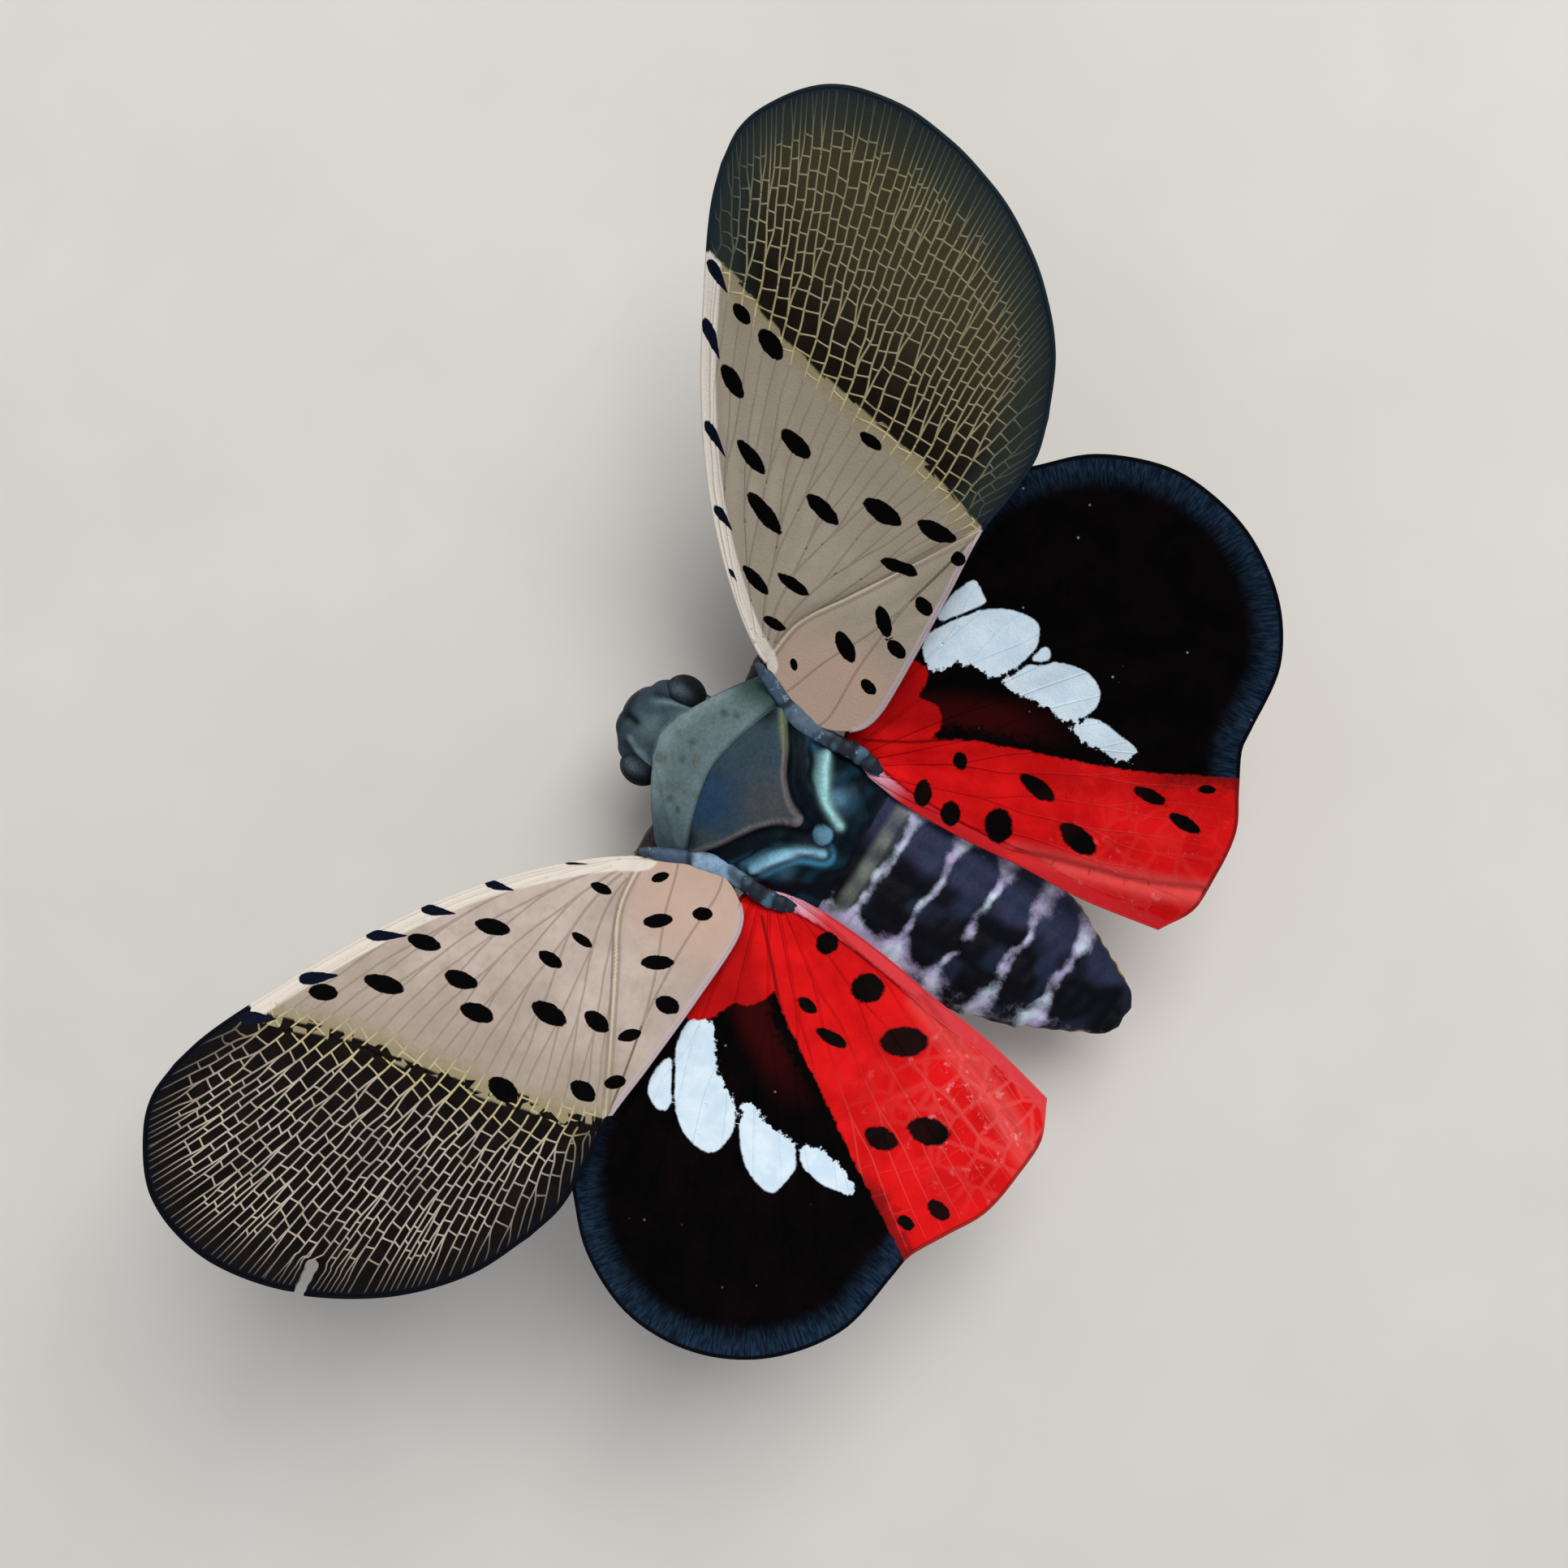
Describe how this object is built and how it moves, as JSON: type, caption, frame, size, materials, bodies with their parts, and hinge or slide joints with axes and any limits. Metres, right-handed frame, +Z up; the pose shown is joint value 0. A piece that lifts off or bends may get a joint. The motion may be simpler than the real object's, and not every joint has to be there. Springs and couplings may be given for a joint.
{
  "type": "spotted lanternfly model",
  "caption": "Still life-size spotted lanternfly standing on its legs with spotted tan forewings and red, black and white hindwings spread.",
  "frame": {"origin": "middle of the bounding box's underside, on the floor between the feet", "axes": "+X to the insect's left side, +Y towards its tail, +Z up"},
  "size_m": [0.0386, 0.0248, 0.0162],
  "materials": {
    "cuticle": "waxy blue-grey cuticle, matt",
    "dark_cuticle": "slate-blue cuticle with pale waxy lines",
    "abdomen": "blue-black plates with white wax bands",
    "eye": "faceted, softly glossy",
    "antenna": "orange, satin, with a black bristle",
    "leg": "brown-black, satin",
    "forewing": "leathery tan membrane with black spots and a dark netted tip",
    "hindwing": "thin satin membrane, red at the base with black spots, black and white outside"
  },
  "bodies": {
    "root": {"head": "cuticle", "pronotum": "cuticle", "mesothorax": "dark_cuticle", "metathorax": "dark_cuticle", "abdomen": "abdomen", "rostrum": "dark_cuticle", "eye_left": "eye", "antenna_left": "antenna", "forewing_left": "forewing", "hindwing_left": "hindwing", "eye_right": "eye", "antenna_right": "antenna", "forewing_right": "forewing", "hindwing_right": "hindwing", "fore_femur_left": "leg", "fore_femur_right": "leg", "fore_tibia_left": "leg", "fore_tibia_right": "leg", "fore_foot_left": "leg", "fore_foot_right": "leg", "mid_femur_left": "leg", "mid_femur_right": "leg", "mid_tibia_left": "leg", "mid_tibia_right": "leg", "mid_foot_left": "leg", "mid_foot_right": "leg", "hind_femur_left": "leg", "hind_femur_right": "leg", "hind_tibia_left": "leg", "hind_tibia_right": "leg", "hind_foot_left": "leg", "hind_foot_right": "leg"}
  },
  "joints": []
}
